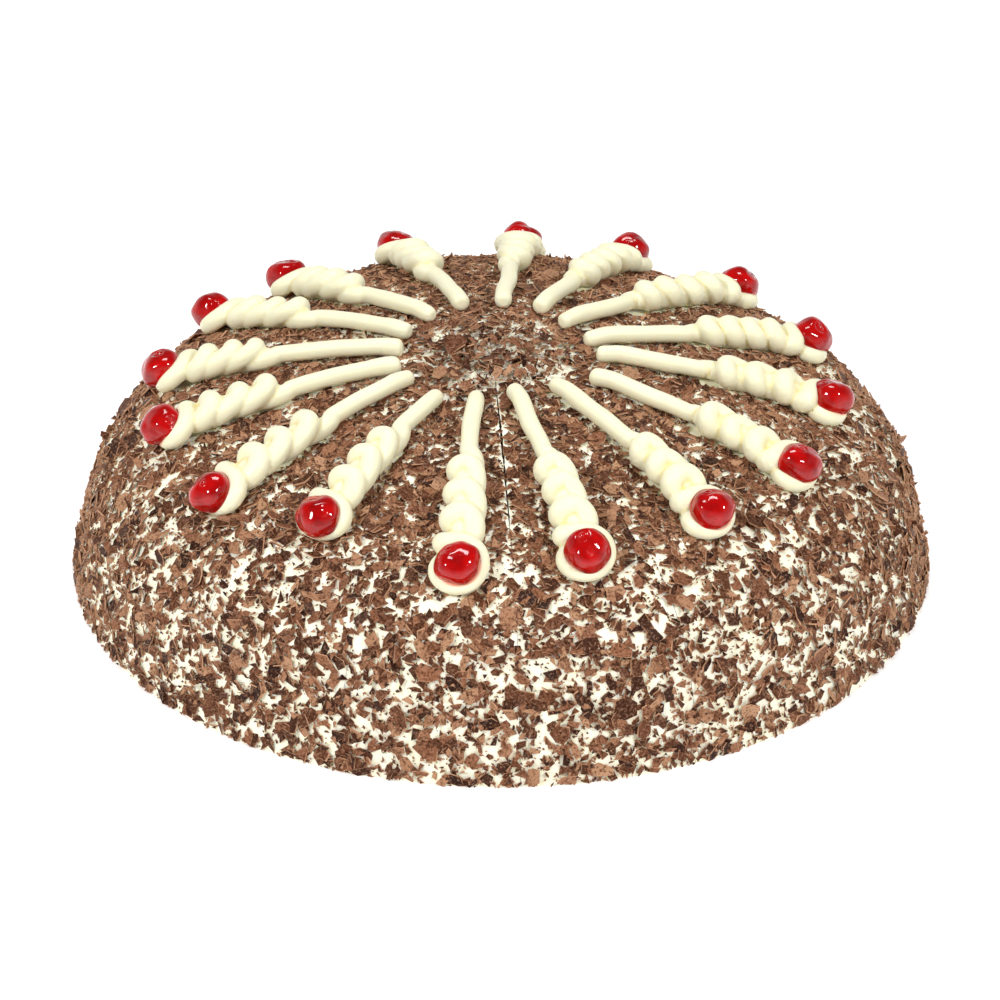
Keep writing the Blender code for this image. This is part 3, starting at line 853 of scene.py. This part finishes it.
# ---------------------------------------------------------------- materials


def material_named(name):
    """A new material, its node tree and its Principled shader."""
    material = bpy.data.materials.new(name)
    material.use_nodes = True
    tree = material.node_tree
    return material, tree, tree.nodes["Principled BSDF"]


def whipped_cream():
    """Whipped cream spread with a palette knife: milk white with a fine grain.

    Specks of chocolate dust lie on it, and the walls of a cut are brown.
    """
    material, tree, shader = material_named("whipped cream, spread")
    place = add(tree, "ShaderNodeTexCoord").outputs["Object"]
    knife = add(tree, "ShaderNodeAttribute", attribute_name="knife")
    clouds = add(tree, NOISE, {"Vector": place, "Scale": 1 / (9 * MM), "Detail": 3.0})
    tone = add(
        tree, MIX,
        {"Factor": clouds.outputs[0], 6: linear("#FFFEEC"), 7: linear("#FFFAD6")},
        data_type="RGBA",
    )
    cut = add(
        tree, MIX,
        {"Factor": knife.outputs["Fac"], 6: tone.outputs[2], 7: linear("#6E5034")},
        data_type="RGBA",
    )
    dust = add(
        tree, NOISE,
        {"Vector": place, "Scale": 1 / (1.3 * MM), "Detail": 4.0, "Roughness": 0.6},
    )
    drift = add(tree, NOISE, {"Vector": place, "Scale": 1 / (8 * MM)})
    amount = add(
        tree, MATH, {0: drift.outputs[0], 1: 0.16, 2: dust.outputs[0]},
        operation="MULTIPLY_ADD",
    )
    specks = add(
        tree, "ShaderNodeMapRange", {"Value": amount, "From Min": 0.75, "From Max": 0.77},
    )
    dusted = add(
        tree, MIX,
        {"Factor": specks.outputs[0], 6: cut.outputs[2], 7: linear("#7A5A48")}, data_type="RGBA",
    )
    # Coarser than the real grain, which would be too fine to show
    grain = add(tree, NOISE, {"Vector": place, "Scale": 1 / (0.7 * MM), "Detail": 3.0})
    bump = add(
        tree, "ShaderNodeBump", {"Height": grain.outputs[0], "Strength": 0.35, "Distance": 0.2 * MM}
    )
    plug(
        tree, shader,
        {
            "Base Color": dusted.outputs[2], "Roughness": 0.55, "Subsurface Weight": 0.35,
            "Subsurface Radius": CREAM_SCATTER, "Subsurface Scale": 1.5 * MM, "Normal": bump,
        },
    )
    return material


def piped_cream():
    """Piped whipped cream: ivory and smooth from the nozzle, with painted shade in yellow along its
    creases.
    """
    material, tree, shader = material_named("whipped cream, piped")
    place = add(tree, "ShaderNodeTexCoord").outputs["Object"]
    crease = add(tree, "ShaderNodeAttribute", attribute_name="crease")
    stain = add(tree, "ShaderNodeAttribute", attribute_name="stain")
    # Painted shade: where the cream is hollow, between its loops, it is mixed towards a darker
    # yellow
    deep = add(
        tree, "ShaderNodeMapRange",
        {"Value": crease.outputs["Fac"], "From Min": 0.02, "From Max": 0.26},
    )
    body = add(
        tree, MIX,
        {"Factor": deep.outputs[0], 6: linear("#F1EDCD"), 7: linear("#ECDC90")},
        data_type="RGBA",
    )
    soaked = add(tree, MATH, {0: stain.outputs["Fac"], 1: 2.0}, operation="POWER")
    tone = add(
        tree, MIX,
        {"Factor": soaked, 6: body.outputs[2], 7: linear("#F0A080")}, data_type="RGBA",
    )
    # Coarser than the real grain, which would be too fine to show
    grain = add(tree, NOISE, {"Vector": place, "Scale": 1 / (1.2 * MM), "Detail": 2.0})
    bump = add(
        tree, "ShaderNodeBump", {"Height": grain.outputs[0], "Strength": 0.2, "Distance": 0.12 * MM}
    )
    plug(
        tree, shader,
        {
            "Base Color": tone.outputs[2], "Roughness": 0.42, "Specular IOR Level": 0.35,
            "Subsurface Weight": 0.4, "Subsurface Radius": CREAM_SCATTER,
            "Subsurface Scale": 2.0 * MM, "Normal": bump,
        },
    )
    return material


def dark_chocolate():
    """Shaved dark chocolate: brown with a dull grey bloom, and a painted tan highlight on each
    shard's rim.
    """
    material, tree, shader = material_named("dark chocolate, shaved")
    place = add(tree, "ShaderNodeTexCoord").outputs["Object"]
    shade = add(tree, "ShaderNodeAttribute", attribute_name="shade")
    rim_highlight = add(tree, "ShaderNodeAttribute", attribute_name="rim_highlight")
    tones = add(tree, "ShaderNodeValToRGB", {0: shade.outputs["Fac"]})
    tones.color_ramp.elements[0].color = linear("#2A160F")
    tones.color_ramp.elements[1].color = linear("#BC906E")
    tones.color_ramp.elements.new(0.45).color = linear("#68402A")
    tones.color_ramp.elements.new(0.72).color = linear("#8E5E43")
    # Coarser than the real bloom, which would be too fine to show
    bloom = add(
        tree, NOISE,
        {"Vector": place, "Scale": 1 / (0.75 * MM), "Detail": 4.0, "Roughness": 0.6},
    )
    pits = add(
        tree, "ShaderNodeMapRange",
        {"Value": bloom.outputs[0], "From Min": 0.5, "From Max": 0.38, "To Max": 0.7},
    )
    pitted = add(
        tree, MIX,
        {"Factor": pits.outputs[0], 6: tones.outputs[0], 7: linear("#2C1004")}, data_type="RGBA",
    )
    spots = add(
        tree, "ShaderNodeMapRange",
        {"Value": bloom.outputs[0], "From Min": 0.53, "From Max": 0.66, "To Max": 0.45},
    )
    dusty = add(
        tree, MIX,
        {"Factor": spots.outputs[0], 6: pitted.outputs[2], 7: linear("#AE8870")},
        data_type="RGBA",
    )
    # Painted highlight: each shard's rim is mixed to a light tan
    edged = add(
        tree, MIX,
        {"Factor": rim_highlight.outputs["Fac"], 6: dusty.outputs[2], 7: linear("#BC9070")},
        data_type="RGBA",
    )
    bump = add(
        tree, "ShaderNodeBump", {"Height": bloom.outputs[0], "Strength": 0.5, "Distance": 0.12 * MM}
    )
    plug(
        tree, shader,
        {
            "Base Color": edged.outputs[2], "Roughness": 0.45, "Specular IOR Level": 0.08,
            "Normal": bump,
        },
    )
    return material


def glace_fruit():
    """Glace cherry: deep red flesh full of syrup under a wet, clear sugar skin."""
    material, tree, shader = material_named("glace cherry")
    place = add(tree, "ShaderNodeTexCoord").outputs["Object"]
    flesh = add(tree, NOISE, {"Vector": place, "Scale": 1 / (5 * MM), "Detail": 2.0})
    tone = add(
        tree, MIX,
        {"Factor": flesh.outputs[0], 6: linear("#560001"), 7: linear("#D60505")},
        data_type="RGBA",
    )
    wrinkles = add(
        tree, NOISE,
        {"Vector": place, "Scale": 1 / (2.2 * MM), "Detail": 2.0, "Distortion": 0.6},
    )
    bump = add(
        tree, "ShaderNodeBump",
        {"Height": wrinkles.outputs[0], "Strength": 0.35, "Distance": 0.3 * MM},
    )
    plug(
        tree, shader,
        {
            "Base Color": tone.outputs[2], "Roughness": 0.16, "IOR": 1.45,
            "Subsurface Weight": 0.1, "Subsurface Radius": (1.0, 0.1, 0.08),
            "Subsurface Scale": 2.5 * MM, "Specular IOR Level": 0.1, "Coat Weight": 0.85,
            "Coat Roughness": 0.03, "Normal": bump,
        },
    )
    return material


def studio_floor():
    """White table: smooth and matt, with a little glow that keeps its shadows light."""
    material, tree, shader = material_named("white table")
    white = linear("#FFFFFF")
    plug(
        tree, shader,
        {
            "Base Color": white, "Emission Color": white, "Emission Strength": 0.24,
            "Roughness": 0.8,
        },
    )
    return material


# ---------------------------------------------------------------- pieces


def piped_rope(number, rope, trees, material, draw):
    """One rope: its strand and core swept, run together as one skin, then softened."""
    outer, core = strand_path(rope, draw), core_path(rope)
    path = outer + core
    points = [rope.place(*station[:3]) for station in path]
    name = f"piped_cream_{number + 1:02d}"
    edges = [(i, i + 1) for i in range(len(points) - 1) if i != len(outer) - 1]
    line = mesh_object(f"{name}_line", points, edges=edges)
    store(line.data, "strand", [station[3] for station in path])
    attach(line, trees["strand"], {"Sides": STRAND_SIDES, "Material": material})
    whole = line.modifiers.new("run together", "REMESH")
    whole.mode = "VOXEL"
    whole.voxel_size = CREAM_VOXEL
    attach(
        line, trees["cream"],
        {
            "Softening": SOFTENING, "Crease Width": CREASE_BLUR, "Fruit Centre": rope.fruit,
            "Fruit Radius": FRUIT_RADIUS, "Bed Radius": FRUIT_BED, "Stain Reach": STAIN_REACH,
            "Material": material,
        },
    )
    return baked(line, name, material)


def cherry(number, tree, material, draw):
    """The node's own coarse ball, merged, grown back to size and wrinkled."""
    name = f"cherry_{number + 1:02d}"
    low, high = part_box(name)
    centre = (low + high) / 2
    bm = bmesh.new()
    bm.from_mesh(frame["nodes"][name].data)
    bmesh.ops.remove_doubles(bm, verts=bm.verts, dist=0.01 * MM)
    for vert in bm.verts:
        vert.co = centre + (vert.co - centre) * FRUIT_REGROWTH
    hole = Vector([draw.uniform(*HOLE_LEFT_RIGHT), draw.uniform(*HOLE_NEAR_FAR), 1.0]).normalized()
    ball = linked("ball", mesh_of(bm, "ball"))
    attach(
        ball, tree,
        {
            "Detail": FRUIT_DETAIL, "Centre": centre, "Radius": FRUIT_RADIUS,
            "Lump Depth": LUMP_DEPTH, "Lump Width": LUMP_WIDTH,
            "Crease Depth": FRUIT_CREASE_DEPTH, "Crease Width": FRUIT_CREASE_WIDTH,
            "Hole Direction": hole, "Hole Depth": draw.uniform(*HOLE_DEPTH_MM) * MM,
            "Hole Width": STONE_HOLE_WIDTH, "Seed": draw.uniform(0, 50), "Material": material,
        },
    )
    return baked(ball, f"glace_{name}", material)


def shard(corners, rough, plain, draw):
    """A thin plate, broken off, about one unit long and thick, its rim marked for a painted
    highlight.

    A plain one, for the finest, runs to one point on its underside.
    """
    bm = bmesh.new()
    mark = bm.faces.layers.float.new("rim_highlight")
    narrow = draw.uniform(0.42, 0.95)
    turn = draw.uniform(0, 2 * math.pi)
    top, bottom = [], []
    bend = draw.uniform(-0.25, 0.25)
    if plain:
        bottom = [bm.verts.new((0, 0, -0.5))] * corners
    for i in range(corners):
        angle = turn + 2 * math.pi * (i + draw.uniform(-0.25, 0.25)) / corners
        reach = 0.5 * (1 - rough * draw.random())
        x, y = reach * math.cos(angle), reach * narrow * math.sin(angle)
        curl = bend * x * x * 4
        top.append(bm.verts.new((x, y, 0.5 + curl)))
        slant = 1 + draw.uniform(-0.12, 0.1)
        if not plain:
            bottom.append(bm.verts.new((x * slant, y * slant, -0.5 + curl)))
    bm.faces.new(top)
    if not plain:
        bm.faces.new(bottom[::-1])
    # The walls of the rim are marked for the painted highlight
    for i in range(corners):
        j = (i + 1) % corners
        wall = (top[j], top[i], bottom[i]) if plain else (top[j], top[i], bottom[i], bottom[j])
        bm.faces.new(wall)[mark] = 1.0
    return bpy.data.objects.new("shard", mesh_of(bm, "shard"))


def shard_collection(name, corners, rough, plain, draw):
    """Unlike shards of one kind, for the strewing to pick from."""
    collection = bpy.data.collections.new(name)
    bpy.context.scene.collection.children.link(collection)
    for _ in range(SHAPES_PER_KIND):
        collection.objects.link(shard(draw.choice(corners), rough, plain, draw))
    return collection


def cut_opening(level):
    """The distance to the nearest cut where it stands open, or far where none does."""
    offset = level - PIPING_CENTRE
    distance = offset.length
    bearing = math.degrees(math.atan2(offset.y, offset.x)) - FIRST_CUT
    cut = round(bearing / SLICE_ANGLE)
    away = distance * abs(math.sin(math.radians(bearing - cut * SLICE_ANGLE)))
    cut %= SLICES
    if cut == OPEN_CUT:
        opened = OPEN_FROM < distance < OPEN_TO
    else:
        along = noise.noise(Vector((distance / OPEN_STRETCH, 5.3 * cut, 0.0)))
        opened = along > PARTLY_OPEN_LEVEL and OPEN_FROM < distance < PARTLY_OPEN_TO
    return away if opened else NO_CUT_NEAR


def rope_clearance(levels, ropes):
    """How far level positions lie outside the ground that the ropes hide, negative inside."""
    best = np.full(len(levels), 1.0)
    for rope in ropes:
        offset = levels - np.array(rope.start)
        along = offset @ np.array(rope.along)
        side = np.abs(offset @ np.array(rope.across))
        reach = max(rope.past - COLLAR_SIDE - COLLAR_STRAND, -COLLAR_SIDE / 2)
        ends = (rope.coil - 3 * MM, rope.length - 6 * MM, rope.length + reach)
        widths = (HIDDEN_BY_TAIL, HIDDEN_BY_COIL, HIDDEN_BY_COLLAR)
        starts = (1 * MM, *ends[:2])
        for start, stop, width in zip(starts, ends, widths):
            past = np.maximum(np.maximum(start - along, along - stop), 0.0)
            best = np.minimum(best, np.hypot(past, side) - width)
    return best


def strewn_surface(ropes):
    """The cream's whole surface with what the strewing reads: cover, heap and gaps."""
    levels = [PIPING_CENTRE.copy()]
    for station in STATIONS:
        for i in range(STREWN_COLUMNS):
            bearing = 360 * i / STREWN_COLUMNS
            levels.append(PIPING_CENTRE + direction(bearing) * station * foot_distance(bearing))
    points = [spread_cream(level) for level in levels]
    columns = STREWN_COLUMNS
    faces = [(0, 1 + i, 1 + (i + 1) % columns) for i in range(columns)]
    for row in range(len(STATIONS) - 1):
        first = 1 + row * columns
        for i in range(columns):
            j = (i + 1) % columns
            faces.append((first + i, first + columns + i, first + columns + j, first + j))
    surface = mesh_object("strewn_surface", points, faces)
    reach = np.array([level.length for level in levels])
    heap = np.clip((HEAP_EDGE - reach) / HEAP_FADE, 0, 1)
    top = np.clip((TOP_EDGE - reach) / TOP_FADE, 0, 1)
    ring = np.exp(-(((reach - BARE_RING) / BARE_RING_WIDTH) ** 2))
    store(surface.data, "cover", SIDE_COVER + TOP_COVER * top - BARE_RING_SHARE * ring)
    store(surface.data, "heap", heap * heap * (3 - 2 * heap))
    flat = np.array([list(level) for level in levels])
    store(surface.data, "rope_gap", rope_clearance(flat, ropes))
    store(surface.data, "cut_gap", [cut_opening(level) for level in levels])
    return surface


# Shards by kind: corners, roughness of outline, sizes and thickness in mm, the most of
# them on a square metre, how they lie, tilt in degrees, and on which ring of the cake in mm
SHARD_KINDS = {
    "heaped_shards": dict(
        corners=(3, 4, 5), rough=0.35, smallest=2.4, largest=7.5, thick=0.35, number=230000,
        apart=1.2, tilt=32, patchiness=1.4, rope_room=0.3, cut_room=0.2, ring=(0, 31),
    ),
    "standing_shards": dict(
        corners=(3, 4, 5), rough=0.4, smallest=3.0, largest=6.5, thick=0.4, number=16000,
        apart=3.0, tilt=85, patchiness=1.0, rope_room=0.4, cut_room=0.4, ring=(0, 150),
    ),
    "broad_shards": dict(
        corners=(4, 5, 6), rough=0.35, smallest=5.0, largest=11.0, thick=0.5, number=30000,
        apart=3.2, tilt=20, patchiness=2.0, rope_room=0.25, cut_room=0.3, ring=(0, 150),
    ),
    "middle_shards_above": dict(
        corners=(3, 4, 4, 5), rough=0.35, smallest=2.8, largest=7.5, thick=0.35, number=500000,
        apart=1.0, tilt=24, patchiness=1.6, rope_room=0.1, cut_room=0.22, ring=(26, 113),
    ),
    "middle_shards_around": dict(
        corners=(3, 4, 4, 5), rough=0.35, smallest=2.6, largest=7.5, thick=0.35, number=330000,
        apart=1.0, tilt=25, patchiness=2.0, rope_room=0.15, cut_room=0.25, ring=(113, 150),
    ),
    "fine_shards": dict(
        corners=(3, 4, 5), rough=0.4, smallest=1.3, largest=3.4, thick=0.6, number=330000,
        apart=0.7, tilt=32, patchiness=1.6, rope_room=0.1, cut_room=0.2, ring=(0, 150),
        plain=True,
    ),
    "chocolate_crumbs": dict(
        corners=(3, 4), rough=0.4, smallest=0.7, largest=1.6, thick=0.5, number=130000,
        apart=0.5, tilt=50, patchiness=1.0, rope_room=0.0, cut_room=0.4, ring=(0, 150),
        plain=True,
    ),
}


def strewn_shards(name, kind, tree, surface, material, seed):
    """All shards of one kind as one mesh, strewn over a copy of the surface."""
    draw = random.Random(seed)
    shapes = shard_collection(
        f"{name}_shapes", kind["corners"], kind["rough"], kind.get("plain", False), draw
    )
    ground = surface.copy()
    bpy.context.scene.collection.objects.link(ground)
    attach(
        ground, tree,
        {
            "Shards": shapes, "Per Square Metre": float(kind["number"]),
            "Apart": kind["apart"] * MM, "Smallest": kind["smallest"] * MM,
            "Largest": kind["largest"] * MM, "Thickness": kind["thick"] * MM,
            "Most Tilt": math.radians(kind["tilt"]), "Heap": HEAP_RISE,
            "Patch Width": PATCH_WIDTH, "Patchiness": kind["patchiness"],
            "Rope Room": kind["rope_room"], "Cut Room": kind["cut_room"],
            "From Radius": kind["ring"][0] * MM, "To Radius": kind["ring"][1] * MM,
            "Reach": FOOT_RADIUS + SHARD_OVERHANG, "Seed": seed, "Material": material,
        },
    )
    made = baked(ground, name, material)
    for shape in list(shapes.objects):
        bpy.data.objects.remove(shape, do_unlink=True)
    bpy.data.collections.remove(shapes)
    return made


# ---------------------------------------------------------------- studio


def aim(obj, target):
    """Turns an object so that its local -Z points at the target."""
    toward = Vector(target) - obj.location
    obj.rotation_euler = toward.to_track_quat("-Z", "Y").to_euler()


def softbox(name, location, size, power):
    """A rectangular area light that faces the cake."""
    light = bpy.data.lights.new(name, "AREA")
    light.shape = "RECTANGLE"
    light.size, light.size_y = size
    light.energy = power
    obj = linked(name, light)
    obj.location = location
    aim(obj, LIT_POINT)


def studio():
    """The table, the softboxes and the grey walls that the glaze reflects."""
    corners = [(x * TABLE_HALF, y * TABLE_HALF, 0) for x, y in ((-1, -1), (1, -1), (1, 1), (-1, 1))]
    table = mesh_object("table", corners, [(0, 1, 2, 3)])
    table.data.materials.append(studio_floor())
    for name, (place, size, power) in SOFTBOXES.items():
        softbox(name, place, size, power)
    world = bpy.data.worlds.new("studio")
    bpy.context.scene.world = world
    world.use_nodes = True
    tree = world.node_tree
    ray = add(tree, "ShaderNodeTexCoord").outputs["Generated"]
    rise = add(tree, "ShaderNodeSeparateXYZ", {0: ray})
    walls = add(tree, "ShaderNodeValToRGB", {0: rise.outputs["Z"]})
    for element, (height, grey) in zip(walls.color_ramp.elements, WALL_GREYS):
        element.position = height
        element.color = (grey, grey, grey, 1)
    plug(tree, tree.nodes["Background"], {"Color": walls, "Strength": SKY_STRENGTH})
    bpy.context.scene.view_settings.view_transform = "Standard"


def camera():
    """The camera, in front of the cake and above it, looking down."""
    data = bpy.data.cameras.new("camera")
    data.lens = CAMERA_LENS
    data.sensor_width = CAMERA_SENSOR
    obj = linked("camera", data)
    obj.location = CAMERA_PLACE
    obj.rotation_euler = (CAMERA_TILT, 0, 0)
    bpy.context.scene.camera = obj


def main():
    """Dresses every solid with its own piece, then strews the chocolate over all slices."""
    camera()
    studio()
    trees = {"strand": strand_tree(), "cream": cream_skin_tree()}
    fruit_tree, shard_tree = fruit_skin_tree(), strewn_tree()
    spread, piped = whipped_cream(), piped_cream()
    chocolate, fruit = dark_chocolate(), glace_fruit()
    draw = random.Random(ROPE_SEED)
    ropes = [Rope(number) for number in range(SLICES)]
    for number, rope in enumerate(ropes):
        portion = slice_object(number, spread)
        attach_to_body(portion, "root")
        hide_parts(f"slice_{number + 1:02d}")
        strand = piped_rope(number, rope, trees, piped, draw)
        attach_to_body(strand, "root")
        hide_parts(f"cream_rope_{number + 1:02d}")
        ball = cherry(number, fruit_tree, fruit, draw)
        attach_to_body(ball, "root")
        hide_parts(f"cherry_{number + 1:02d}")
    surface = strewn_surface(ropes)
    for seed, (name, kind) in enumerate(SHARD_KINDS.items(), start=3):
        shards = strewn_shards(name, kind, shard_tree, surface, chocolate, seed)
        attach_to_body(shards, "root")
    bpy.data.objects.remove(surface, do_unlink=True)


main()
